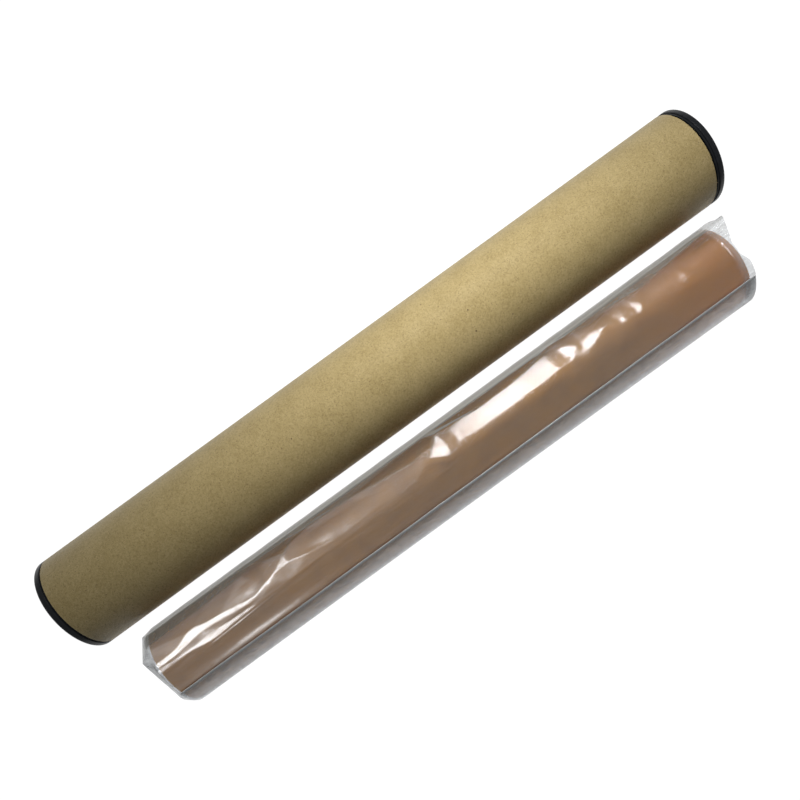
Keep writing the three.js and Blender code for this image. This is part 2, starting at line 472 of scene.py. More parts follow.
@dataclass(frozen=True)
class ClearFilm:
    """Thin glossy film: clear face on, mirror-like and cloudy edge on, white where gathered, and white along
    marked creases, which along the fold's edge is a painted highlight.

    On the loose side, towards the tube, its cloudiness is painted shade, a darker grey; elsewhere it is
    milky.
    """

    name: str
    haze: float = 0.010
    edge_haze: float = 0.90
    gathered: float = 0.40
    whitening_and_glint_share: float = 0.75
    shine: float = 0.085
    loose_haze: float = 0.34
    edge_on: float = 0.30
    edge_power: float = 3.0
    milk: Colour = (0.80, 0.81, 0.81, 1.0)
    # Painted shade: the darker grey that the cloudiness takes on the loose side.
    shaded_haze: Colour = (0.38, 0.375, 0.345, 1.0)
    tint: Colour = (0.985, 0.99, 0.995, 1.0)
    rough: float = 0.20
    soft_rough: float = 0.42
    soft_share: float = 0.45
    bumps: tuple[float, float] = (0.30, 0.25 * MM)
    crinkle_share: float = 0.12
    end_thinning: float = 0.8
    tight_share: float = 0.15
    loose_from: float = 0.30
    loose_to: float = 0.50
    streak_low: float = 0.85
    streak_swing: float = 0.3
    flat_half: float = 150.0
    gather_width: float = 3.5
    shaded_haze_from: float = -42.0
    shaded_haze_to: float = -22.0

    def make(self) -> bpy.types.Material:
        """Builds the film's material on Object coordinates."""
        s = Shader(self.name)
        scuff = s.noise(s.place((0.25, 0.6, 0.6)), detail=4.0, rough=0.65, warp=0.5)
        streak = s.noise(s.place((0.10, 0.75, 0.75)), detail=3.0, rough=0.6, warp=0.6)
        ripple = s.noise(s.place((0.35, 0.12, 0.12)), detail=2.0, rough=0.4)
        crinkle = s.noise(s.place((0.9, 0.5, 0.5)), detail=2.0, rough=0.5, warp=0.4)
        normal = s.bump(ripple + crinkle * self.crinkle_share, *self.bumps)
        facing = s.value("ShaderNodeLayerWeight", {}, {"Blend": 0.5, "Normal": normal}, output="Facing")
        where = s.node("ShaderNodeSeparateXYZ", {}, {0: s.place((1.0, 1.0, 1.0))})
        along = Value(s, where.outputs[0])
        loose = Value(s, where.outputs[1]).eased(self.shaded_haze_from, self.shaded_haze_to)
        ends = (along * along).eased(self.flat_half ** 2, (self.flat_half + self.gather_width) ** 2)
        flank = ends * -self.end_thinning + 1.0
        sharp = s.surface(Base_Color=self.tint, Metallic=1.0, Normal=normal,
                          Roughness=scuff * 0.05 + (self.rough - 0.02))
        soft = s.surface(Base_Color=self.tint, Metallic=1.0, Normal=normal,
                         Roughness=scuff * 0.05 + (self.soft_rough - 0.02))
        mirror = s.node("ShaderNodeMixShader", {},
                        {0: self.soft_share, 1: sharp.outputs[0], 2: soft.outputs[0]})
        # Marked creases are painted white; along the fold's edge this whiteness is a painted highlight.
        pressed = s.value("ShaderNodeAttribute", {"attribute_name": "pressed"}, output="Fac")
        # Painted shade: on the loose side, towards the tube, the cloudiness takes the darker grey.
        white = (ends + pressed - loose + 1.0).at_most(1.0)
        # Its colour is milky, or the painted shade grey on the loose side.
        milky = s.surface(Base_Color=s.blend(white, self.shaded_haze, self.milk), Roughness=0.5, Normal=normal)
        clear = s.node("ShaderNodeBsdfTransparent", {}, {"Color": self.tint})
        slack = loose * (1 - self.tight_share) + self.tight_share
        cloud = (scuff.eased(0.35, 0.8) * self.haze + self.haze + pressed * self.whitening_and_glint_share
                 + flank * facing ** 2.0 * slack * self.edge_haze
                 + flank * facing.eased(self.loose_from, self.loose_to) * loose * self.loose_haze)
        cloudy = s.node("ShaderNodeMixShader", {},
                        {0: (cloud + ends * scuff * self.gathered).at_most(1.0), 1: clear.outputs[0],
                         2: milky.outputs[0]})
        shine = (streak.eased(0.25, 0.75) * self.streak_swing + self.streak_low) * self.shine
        gloss = (facing ** self.edge_power * self.edge_on + shine).at_most(1.0)
        both = s.node("ShaderNodeMixShader", {}, {0: gloss, 1: cloudy.outputs[0], 2: mirror.outputs[0]})
        return s.finish(both.outputs[0])


@dataclass(frozen=True)
class PlainFloor:
    """The pale table the set lies on."""

    name: str = "pale_floor"
    base: Colour = (0.16, 0.16, 0.16, 1.0)
    glow: Colour = (1.0, 1.0, 1.0, 1.0)
    glow_strength: float = 1.02

    def make(self) -> bpy.types.Material:
        """Builds the floor's material: lit mostly from within, so shadows on it stay faint."""
        s = Shader(self.name)
        main = s.surface(Base_Color=self.base, Roughness=0.9, Specular_IOR_Level=0.0,
                         Emission_Color=self.glow, Emission_Strength=self.glow_strength)
        return s.finish(main.outputs[0])


# ---- Meshes --------------------------------------------------------------------------------------


def new_piece(name: str, mesh: bpy.types.Mesh,
              material: bpy.types.Material | None = None) -> bpy.types.Object:
    """Links a mesh into the scene as a piece, with smooth faces between sharp edges.

    Args:
        name: the piece's name.
        mesh: its mesh, in its place.
        material: its finish, if the mesh has none yet.

    Returns:
        The new object, at the origin.
    """
    mesh.name = name
    if material is not None:
        mesh.materials.clear()
        mesh.materials.append(material)
    mesh.shade_smooth()
    mesh.set_sharp_from_angle(angle=SMOOTH_BELOW)
    piece = bpy.data.objects.new(name, mesh)
    bpy.context.scene.collection.objects.link(piece)
    return piece


def face_outwards(mesh: bpy.types.Mesh, merge: float = 1e-7) -> None:
    """Merges doubles and turns every face outwards."""
    work = bmesh.new()
    work.from_mesh(mesh)
    bmesh.ops.remove_doubles(work, verts=work.verts, dist=merge)
    bmesh.ops.recalc_face_normals(work, faces=work.faces)
    work.to_mesh(mesh)
    work.free()


def plain_copy(piece: bpy.types.Object, name: str) -> bpy.types.Mesh:
    """Turns an object and its modifiers into a plain mesh, and removes the object.

    Args:
        piece: the object to evaluate.
        name: the new mesh's name.

    Returns:
        The mesh.
    """
    bpy.context.view_layer.update()
    graph = bpy.context.evaluated_depsgraph_get()
    mesh = bpy.data.meshes.new_from_object(piece.evaluated_get(graph), preserve_all_data_layers=True,
                                           depsgraph=graph)
    mesh.name = name
    bpy.data.objects.remove(piece)
    return mesh


def woven_faces(rings: int, around: int, wrap: bool) -> list[tuple[int, int, int, int]]:
    """The quads between rings of points.

    Args:
        rings: how many rings there are.
        around: how many points each has.
        wrap: whether a ring closes on itself.

    Returns:
        Four point numbers for each quad.
    """
    steps = around if wrap else around - 1
    return [(i * around + j, i * around + (j + 1) % around,
             (i + 1) * around + (j + 1) % around, (i + 1) * around + j)
            for i in range(rings - 1) for j in range(steps)]


@dataclass(frozen=True)
class Axis:
    """A line along X that a round piece is built about."""

    y: float
    z: float

    @classmethod
    def of(cls, node: str) -> "Axis":
        """The middle line of a node of the part."""
        low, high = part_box(node)
        return cls((low.y + high.y) / 2, (low.z + high.z) / 2)

    def points(self, x: np.ndarray, radius: np.ndarray, angle: np.ndarray) -> np.ndarray:
        """Points at a radius and an angle, in radians, about the axis."""
        x, radius, angle = np.broadcast_arrays(x, radius, angle)
        return np.stack([x, self.y - radius * np.sin(angle), self.z + radius * np.cos(angle)], axis=-1)


@dataclass(frozen=True)
class Turning:
    """A part turned about an axis from a closed outline of (radius, x) points in metres."""

    axis: Axis
    outline: Sequence[tuple[float, float]]
    sides: int = 160

    def mesh(self, name: str) -> bpy.types.Mesh:
        """Builds the closed mesh; an outline that meets the axis gets a pole there."""
        angle = np.linspace(0, FULL_TURN, self.sides, endpoint=False)
        middle = [(r, x) for r, x in self.outline if r > 0]
        points = [self.axis.points(x, r, angle) for r, x in middle]
        vertices = [tuple(p) for ring in points for p in ring]
        faces: list[tuple[int, ...]] = list(woven_faces(len(middle), self.sides, True))
        for ring, (r, x) in ((0, self.outline[0]), (len(middle) - 1, self.outline[-1])):
            vertices.append((x, self.axis.y, self.axis.z))
            pole = len(vertices) - 1
            first = ring * self.sides
            faces += [(first + j, first + (j + 1) % self.sides, pole) for j in range(self.sides)]
        mesh = bpy.data.meshes.new(name)
        mesh.from_pydata(vertices, [], faces)
        face_outwards(mesh)
        return mesh


def corner(centre: tuple[float, float], radius: float, start: float, end: float,
           steps: int = 6) -> list[tuple[float, float]]:
    """An arc of an outline.

    Args:
        centre: its centre, as (radius, out) in the outline's own plane.
        radius: its radius.
        start: its first angle in degrees, from the way out towards the rim.
        end: its last angle.
        steps: how many chords it has.

    Returns:
        Its points.
    """
    angles = np.radians(np.linspace(start, end, steps + 1))
    return [(centre[0] + radius * math.sin(a), centre[1] + radius * math.cos(a)) for a in angles]


# ---- Rolled sheets -------------------------------------------------------------------------------


class RolledSheet:
    """The geometry nodes that bend a flat strip into a ring or a spiral about an axis along X."""

    INPUTS = (("Steps", "Int"), ("Rows", "Int"), ("Turns", "Float"), ("Inner Radius", "Float"),
              ("Pitch", "Float"), ("Thickness", "Float"), ("Width", "Float"), ("Start Angle", "Float"),
              ("Low X", "Float"), ("Axis Y", "Float"), ("Axis Z", "Float"), ("Edge Wander", "Float"),
              ("Finish", "Material"))

    def __init__(self) -> None:
        """Builds the tree once, for every rolled sheet."""
        self.tree = bpy.data.node_groups.new("rolled_sheet", "GeometryNodeTree")
        self.sockets: dict[str, str] = {}
        for name, kind in self.INPUTS:
            made = self.tree.interface.new_socket(name, in_out="INPUT", socket_type=f"NodeSocket{kind}")
            self.sockets[name] = made.identifier
        self.tree.interface.new_socket("Geometry", in_out="OUTPUT", socket_type="NodeSocketGeometry")
        self._wire(Graph(self.tree))

    def _wire(self, g: Graph) -> None:
        """Adds the nodes: a box mesh whose three directions become angle, x and radius."""
        given = g.node("NodeGroupInput")
        size = {name: Value(g, given.outputs[name]) for name, _ in self.INPUTS}
        block = g.node("GeometryNodeMeshCube", {}, {"Size": (1.0, 1.0, 1.0), "Vertices X": size["Steps"],
                                                    "Vertices Y": size["Rows"], "Vertices Z": 2})
        place = g.value("GeometryNodeInputPosition")
        parts = g.node("ShaderNodeSeparateXYZ", {}, {0: place})
        along, across, depth = (Value(g, out) + 0.5 for out in parts.outputs[:3])
        turned = along * size["Turns"]
        angle = turned * FULL_TURN + size["Start Angle"]
        radius = size["Inner Radius"] + turned * size["Pitch"] + depth * size["Thickness"]
        wander = g.value("ShaderNodeTexNoise", {"noise_dimensions": "1D"}, {"W": turned * 1.7, "Scale": 1.0})
        x = size["Low X"] + across * size["Width"] + (wander - 0.5) * size["Edge Wander"]
        y = size["Axis Y"] - radius * angle.sine()
        z = size["Axis Z"] + radius * angle.cosine()
        moved = g.node("ShaderNodeCombineXYZ", {}, {0: x, 1: y, 2: z})
        run = angle * (size["Inner Radius"] + size["Pitch"] * size["Turns"] * 0.5) / MM
        lay = g.node("ShaderNodeCombineXYZ", {}, {0: run, 1: across * size["Width"] / MM, 2: depth})
        settings = {"data_type": "FLOAT_VECTOR", "domain": "POINT"}
        stored = g.node("GeometryNodeStoreNamedAttribute", settings,
                        {"Geometry": block.outputs["Mesh"], "Name": "lay", "Value": lay.outputs[0]})
        bent = g.node("GeometryNodeSetPosition", {},
                      {"Geometry": stored.outputs[0], "Position": moved.outputs[0]})
        real = g.node("GeometryNodeRealizeInstances", {}, {"Geometry": bent.outputs[0]})
        dressed = g.node("GeometryNodeSetMaterial", {},
                         {"Geometry": real.outputs[0], "Material": size["Finish"]})
        g.node("NodeGroupOutput", {}, {"Geometry": dressed.outputs[0]})

    def make(self, name: str, sizes: dict[str, Any]) -> bpy.types.Object:
        """Bends one sheet.

        Args:
            name: the piece's name.
            sizes: a value for each of the tree's inputs, by name.

        Returns:
            The finished piece.
        """
        base = bpy.data.objects.new(name, bpy.data.meshes.new(name))
        bpy.context.scene.collection.objects.link(base)
        modifier = base.modifiers.new("bend", "NODES")
        modifier.node_group = self.tree
        for key, size in sizes.items():
            modifier[self.sockets[key]] = size
        mesh = plain_copy(base, name)
        face_outwards(mesh)
        return new_piece(name, mesh)


class PaperFibres:
    """The geometry nodes that scatter short curved fibres over a sheet's outer face."""

    INPUTS = (("Geometry", "Geometry"), ("Density", "Float"), ("Seed", "Int"), ("Length", "Float"),
              ("Thickness", "Float"), ("Finish", "Material"))

    def __init__(self) -> None:
        """Builds the tree once."""
        self.tree = bpy.data.node_groups.new("paper_fibres", "GeometryNodeTree")
        self.sockets: dict[str, str] = {}
        for name, kind in self.INPUTS:
            made = self.tree.interface.new_socket(name, in_out="INPUT", socket_type=f"NodeSocket{kind}")
            self.sockets[name] = made.identifier
        self.tree.interface.new_socket("Geometry", in_out="OUTPUT", socket_type="NodeSocketGeometry")
        self._wire(Graph(self.tree))

    def _wire(self, g: Graph) -> None:
        """Adds the nodes: points on the outer face, one curved fibre on each, laid flat and turned."""
        given = g.node("NodeGroupInput")
        size = {name: Value(g, given.outputs[name]) for name, _ in self.INPUTS}
        lay = g.value("GeometryNodeInputNamedAttribute", {"data_type": "FLOAT_VECTOR"}, {"Name": "lay"})
        depth = Value(g, g.node("ShaderNodeSeparateXYZ", {}, {0: lay}).outputs[2])
        outer = depth > 0.75
        points = g.node("GeometryNodeDistributePointsOnFaces", {"distribute_method": "RANDOM"},
                        {"Mesh": size["Geometry"], "Selection": outer, "Density": size["Density"],
                         "Seed": size["Seed"]})
        half = size["Length"] * 0.5
        start = g.node("ShaderNodeCombineXYZ", {}, {0: half * -1.0})
        bow = g.node("ShaderNodeCombineXYZ", {}, {1: half * 0.45})
        stop = g.node("ShaderNodeCombineXYZ", {}, {0: half})
        curve = g.node("GeometryNodeCurveQuadraticBezier", {},
                       {"Resolution": 5, "Start": start.outputs[0], "Middle": bow.outputs[0],
                        "End": stop.outputs[0]})
        section = g.node("GeometryNodeCurvePrimitiveCircle", {}, {"Resolution": 4,
                                                                  "Radius": size["Thickness"] * 0.5})
        fibre = g.node("GeometryNodeCurveToMesh", {},
                       {"Curve": curve.outputs[0], "Profile Curve": section.outputs[0], "Fill Caps": True})
        spin = g.node("FunctionNodeRandomValue", {"data_type": "FLOAT_VECTOR"},
                      {"Min": (0.0, 0.0, 0.0), "Max": (0.0, 0.0, FULL_TURN), "Seed": size["Seed"]})
        turned = g.node("FunctionNodeRotateRotation", {"rotation_space": "LOCAL"},
                        {0: points.outputs["Rotation"], 1: spin.outputs[0]})
        grow = g.node("FunctionNodeRandomValue", {"data_type": "FLOAT_VECTOR"},
                      {"Min": (0.3, 0.3, 1.0), "Max": (1.6, 1.2, 1.0), "Seed": size["Seed"] + 7})
        laid = g.node("GeometryNodeInstanceOnPoints", {},
                      {"Points": points.outputs["Points"], "Instance": fibre.outputs[0],
                       "Rotation": turned.outputs[0], "Scale": grow.outputs[0]})
        real = g.node("GeometryNodeRealizeInstances", {}, {"Geometry": laid.outputs[0]})
        dressed = g.node("GeometryNodeSetMaterial", {},
                         {"Geometry": real.outputs[0], "Material": size["Finish"]})
        g.node("NodeGroupOutput", {}, {"Geometry": dressed.outputs[0]})

    def make(self, name: str, sheet: bpy.types.Object, sizes: dict[str, Any]) -> bpy.types.Object:
        """Scatters fibres over a sheet.

        Args:
            name: the piece's name.
            sheet: the sheet they lie on.
            sizes: a value for each of the tree's inputs but the first, by name.

        Returns:
            The finished piece.
        """
        base = bpy.data.objects.new(name, sheet.data.copy())
        bpy.context.scene.collection.objects.link(base)
        modifier = base.modifiers.new("scatter", "NODES")
        modifier.node_group = self.tree
        for key, size in sizes.items():
            modifier[self.sockets[key]] = size
        return new_piece(name, plain_copy(base, name))


# ---- Storage tube --------------------------------------------------------------------------------


@dataclass(frozen=True)
class FibreKind:
    """One colour of fibre: its finish, how many lie on a square metre, and its length and thickness."""

    name: str
    finish: Paperboard
    density: float
    seed: int
    length: float
    thickness: float


@dataclass(frozen=True)
class StorageTube:
    """Three kraft plies, each with its own hidden lengthwise seam, and the fibres in the outer one."""

    radius: float = 22.75 * MM
    plies: tuple[float, ...] = (0.55 * MM, 0.45 * MM, 0.45 * MM)
    seams: tuple[float, ...] = (160.0, 280.0, 40.0)
    layer_gap: float = 0.02 * MM
    seam_gap: float = 0.15 * MM
    names: tuple[str, ...] = ("kraft_outer_ply", "kraft_middle_ply", "kraft_inner_ply")
    nodes: tuple[str, ...] = ("tube_outer_ply", "tube_middle_ply", "tube_inner_ply")
    steps: int = 193
    kinds: tuple[FibreKind, ...] = (
        FibreKind("pale_fibres",
                  Paperboard("pale_fibre", (0.66, 0.52, 0.32, 1.0), (0.56, 0.42, 0.24, 1.0), 0.7),
                  5200.0, 3, 1.6 * MM, 0.085 * MM),
        FibreKind("dark_fibres",
                  Paperboard("dark_fibre", (0.20, 0.13, 0.07, 1.0), (0.28, 0.19, 0.10, 1.0), 0.7),
                  3600.0, 11, 0.9 * MM, 0.10 * MM),
    )

    def build(self, rolled: RolledSheet, fibres: PaperFibres) -> None:
        """Makes the plies and the fibres, and hangs them on the tube's body."""
        axis = Axis.of(self.nodes[0])
        low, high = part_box(self.nodes[0])
        paper = KraftPaper().make()
        outer = self.radius
        for name, node, wall, seam in zip(self.names, self.nodes, self.plies, self.seams):
            share = 1 - self.seam_gap / (FULL_TURN * outer)
            sizes = {"Steps": self.steps, "Rows": 2, "Turns": share, "Pitch": 0.0,
                     "Inner Radius": outer - wall, "Thickness": wall, "Width": high.x - low.x,
                     "Start Angle": math.radians(seam), "Low X": low.x, "Axis Y": axis.y,
                     "Axis Z": axis.z, "Edge Wander": 0.0, "Finish": paper}
            ply = rolled.make(name, sizes)
            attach(ply, Body.TUBE.value)
            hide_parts(node)
            LOG.info("%s on %s", name, Body.TUBE.value)
            if node == self.nodes[0]:
                self._add_fibres(fibres, ply)
            outer -= wall + self.layer_gap

    def _add_fibres(self, fibres: PaperFibres, ply: bpy.types.Object) -> None:
        """Scatters pale and dark fibres over the outer ply."""
        for kind in self.kinds:
            sizes = {"Density": kind.density, "Seed": kind.seed, "Length": kind.length,
                     "Thickness": kind.thickness, "Finish": kind.finish.make()}
            piece = fibres.make(kind.name, ply, sizes)
            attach(piece, Body.TUBE.value)
            LOG.info("%s on %s", kind.name, Body.TUBE.value)


@dataclass(frozen=True)
class EndCap:
    """A push-in cap: a rounded rim, a cupped face and a ribbed plug."""

    end: End
    body: Body
    node: str
    name: str
    rim_radius: float = 22.75 * MM
    rim_thickness: float = 3.5 * MM
    shoulder: float = 0.55 * MM
    shoulder_width: float = 0.8 * MM
    outer_round: float = 1.0 * MM
    inner_round: float = 0.5 * MM
    foot_round: float = 1.0 * MM
    groove_cut: float = 0.1 * MM
    shoulder_round: float = 0.3 * MM
    floor_round: float = 1.5 * MM
    floor_inset: float = 2.0 * MM
    cup_mouth: float = 18.9 * MM
    plug_radius: float = 20.95 * MM
    plug_depth: float = 14.0 * MM
    wall: float = 1.3 * MM
    rib: float = 0.15 * MM
    rib_width: float = 1.2 * MM
    rib_depths: tuple[float, ...] = (7.0 * MM, 3.0 * MM)

    def build(self, finish: bpy.types.Material) -> None:
        """Makes the cap and hangs it on its own body."""
        low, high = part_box(self.node)
        out = self.end.value
        seat = (high.x if out > 0 else low.x) - out * self.rim_thickness
        outline = [(r, seat + out * x) for r, x in self._outline()]
        cap = new_piece(self.name, Turning(Axis.of(self.node), outline).mesh(self.name), finish)
        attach(cap, self.body.value)
        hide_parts(self.node)
        LOG.info("%s on %s", self.name, self.body.value)

    def _outline(self) -> list[tuple[float, float]]:
        """The cap's section from the plug's tip, round the rim and into the cup."""
        r, t, d, p, w = self.rim_radius, self.rim_thickness, self.plug_depth, self.plug_radius, self.wall
        foot = corner((p - self.foot_round, -d + self.foot_round), self.foot_round, 180, 90)
        side = []
        for depth in self.rib_depths:
            side += [(p, -depth - self.rib_width), (p + self.rib, -depth - self.rib_width / 2), (p, -depth)]
        groove = r - self.shoulder
        small, big, lip = self.shoulder_round, self.outer_round, self.inner_round
        rim = [(p, 0.0), (groove - self.groove_cut, 0.0), (groove, self.groove_cut),
               (groove, self.shoulder_width),
               *corner((r - small, self.shoulder_width + small), small, 180, 90, 3),
               *corner((r - big, t - big), big, 90, 0)]
        mouth = corner((self.cup_mouth + lip, t - lip), lip, 0, -90, 4)
        floor = corner((p - w - self.floor_inset, -d + w + self.floor_round), self.floor_round, 90, 180, 5)
        return [(0.0, -d), *foot, *side, *rim, *mouth, *floor, (0.0, -d + w)]


# ---- Foil roll -----------------------------------------------------------------------------------


@dataclass(frozen=True)
class FoilRoll:
    """The paper core and the foil, adhesive and liner wound on it together."""

    radius: float = 19.15 * MM
    core_bore: float = 15.0 * MM
    core_plies: tuple[float, ...] = (0.8 * MM, 0.75 * MM)
    core_seams: tuple[float, ...] = (100.0, 250.0)
    core_turn: float = 0.998
    core_steps: int = 145
    steps_per_turn: int = 110
    turns: float = 13.0
    foil: float = 0.035 * MM
    adhesive: float = 0.03 * MM
    liner: float = 0.08 * MM
    slack: float = 0.008 * MM
    free_end: float = 195.0
    edge_wander: float = 0.35 * MM

    def build(self, rolled: RolledSheet) -> None:
        """Makes the core and the winding, and hangs them on the roll's body."""
        axis = Axis.of("core_inner_ply")
        low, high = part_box("copper_foil")
        common = {"Rows": 2, "Width": high.x - low.x, "Low X": low.x, "Axis Y": axis.y, "Axis Z": axis.z}
        board = Paperboard("core_board", (0.46, 0.38, 0.28, 1.0), (0.34, 0.27, 0.19, 1.0), 0.8).make()
        radius = self.core_bore
        names = ("core_inner_ply", "core_outer_ply")
        for name, wall, seam in zip(names, self.core_plies, self.core_seams):
            sizes = {**common, "Steps": self.core_steps, "Turns": self.core_turn,
                     "Inner Radius": radius, "Pitch": 0.0, "Thickness": wall,
                     "Start Angle": math.radians(seam), "Edge Wander": 0.0, "Finish": board}
            self._add(rolled.make(f"board_{name}", sizes), name, "core_board")
            radius += wall + self.slack
        self._wind(rolled, common)

    def _wind(self, rolled: RolledSheet, common: dict[str, Any]) -> None:
        """Winds the three strips, foil outermost."""
        paper = Paperboard("liner_paper", (0.86, 0.84, 0.78, 1.0), (0.76, 0.73, 0.66, 1.0), 0.6)
        layers = (("copper_winding", "copper_foil", self.foil, CopperFoil().make(), "copper"),
                  ("adhesive_winding", "adhesive_coat", self.adhesive, TackyCoat().make(), "adhesive"),
                  ("liner_winding", "release_liner", self.liner, paper.make(), "liner_paper"))
        pitch = self.foil + self.adhesive + self.liner + 3 * self.slack
        top = self.radius
        for name, node, thick, finish, slot in layers:
            sizes = {**common, "Steps": int(self.turns * self.steps_per_turn), "Turns": self.turns,
                     "Inner Radius": top - thick - pitch * self.turns, "Pitch": pitch, "Thickness": thick,
                     "Start Angle": math.radians(self.free_end) - FULL_TURN * (self.turns % 1),
                     "Edge Wander": self.edge_wander, "Finish": finish}
            self._add(rolled.make(name, sizes), node, slot)
            top -= thick + self.slack

    @staticmethod
    def _add(piece: bpy.types.Object, node: str, slot: str) -> None:
        """Hangs one layer on the roll in its node's place."""
        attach(piece, Body.ROLL.value)
        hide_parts(node)
        LOG.info("%s on %s", piece.name, Body.ROLL.value)


# ---- Clear film ----------------------------------------------------------------------------------


FilmPoint = tuple[float, float, float]


@dataclass(frozen=True)
class FoldLine:
    """A crease in the film: the points it runs through, each a place, an angle and a distance out.

    Places are millimetres from the roll's middle, angles are degrees, distances out are millimetres.
    """

    points: tuple[FilmPoint, ...]
    # How much paler the film is painted along this crease.
    white: float = 0.0

    def nearness(self, x: np.ndarray, angle: np.ndarray, radius: float, width: float) -> np.ndarray:
        """How near some places are to the crease.

        Args:
            x: places along the roll, in millimetres.
            angle: angles of the same shape, in radians.
            radius: the film's usual distance from the axis, in millimetres.
            width: how far the crease reaches sideways, in millimetres.

        Returns:
            1 on the crease, falling to 0 away from it.
        """
        best = np.full(x.shape, np.inf)
        spots = np.stack([x, angle * radius], axis=-1)
        line = np.array([(place, math.radians(turn) * radius) for place, turn, _ in self.points])
        for start, stop in zip(line[:-1], line[1:]):
            edge = stop - start
            share = np.clip(((spots - start) @ edge) / (edge @ edge), 0, 1)
            gap = np.linalg.norm(spots - start - share[..., None] * edge, axis=-1)
            best = np.minimum(best, gap)
        return np.exp(-((best / width) ** 2))


@dataclass(frozen=True)
class Outline:
    """A quantity that changes round the sleeve, given at a few angles in degrees."""

    angles: tuple[float, ...]
    values: tuple[float, ...]

    def at(self, degrees: np.ndarray) -> np.ndarray:
        """The quantity at some angles."""
        return np.interp(degrees, self.angles, self.values)


def line_between(angle: np.ndarray, a1: np.ndarray, r1: np.ndarray, a2: np.ndarray,
                 r2: np.ndarray) -> np.ndarray:
    """The distance out to the straight line between two points, at an angle between them.

    Args:
        angle: the angle asked for, in radians.
        a1: the first point's angle.
        r1: the first point's distance out.
        a2: the second point's angle.
        r2: the second point's distance out.

    Returns:
        The distances.
    """
    return r1 * r2 * np.sin(a2 - a1) / (r1 * np.sin(angle - a1) + r2 * np.sin(a2 - angle))


class FacetNet:
    """Flat facets strung between fold lines, as thin film settles over something round."""

    ARC = 0.35

    def __init__(self, lines: Sequence[FoldLine]) -> None:
        """Joins the lines' points into triangles that keep every line as an edge."""
        self.points = np.array([point for line in lines for point in line.points])
        edges = []
        first = 0
        for line in lines:
            edges += [(first + i, first + i + 1) for i in range(len(line.points) - 1)]
            first += len(line.points)
        flat = [Vector((x, angle * self.ARC)) for x, angle, _ in self.points]
        _, _, faces, origins, _, _ = delaunay_2d_cdt(flat, edges, [], 0, 1e-4)
        if not all(origins):
            raise ValueError("two fold lines of the film cross")
        self.faces = [[origins[corner][0] for corner in face] for face in faces]

    def distance(self, x: np.ndarray, angle: np.ndarray) -> np.ndarray:
        """How far out the facets are.

        Args:
            x: places along the roll, in millimetres.
            angle: angles of the same shape, in radians.

        Returns:
            The distances in millimetres, or 0 outside the net.
        """
        out = np.zeros(x.shape)
        across = np.degrees(angle) * self.ARC
        for face in self.faces:
            corners = self.points[face]
            flat = corners[:, :2] * (1.0, self.ARC)
            low, high = flat.min(axis=0) - 1e-6, flat.max(axis=0) + 1e-6
            near = (x >= low[0]) & (x <= high[0]) & (across >= low[1]) & (across <= high[1])
            spots = np.stack([x[near], across[near]], axis=-1)
            inside = self._within(spots, flat)
            turned = np.radians(corners[:, 1])
            across_axis = corners[:, 2] * np.sin(turned)
            above_axis = corners[:, 2] * np.cos(turned)
            solid = np.stack([corners[:, 0], across_axis, above_axis], axis=-1)
            normal = np.cross(solid[1] - solid[0], solid[2] - solid[0])
            level = normal @ solid[0]
            way = normal[1] * np.sin(angle[near]) + normal[2] * np.cos(angle[near])
            reach = (level - normal[0] * x[near]) / way
            out[near] = np.where(inside, reach, out[near])
        return out

    @staticmethod
    def _within(spots: np.ndarray, flat: np.ndarray) -> np.ndarray:
        """Whether each spot lies in the triangle."""
        signs = []
        for start, stop in ((0, 1), (1, 2), (2, 0)):
            edge = flat[stop] - flat[start]
            away = spots - flat[start]
            signs.append(edge[0] * away[:, 1] - edge[1] * away[:, 0])
        turned = np.array(signs)
        return (turned >= -1e-6).all(axis=0) | (turned <= 1e-6).all(axis=0)


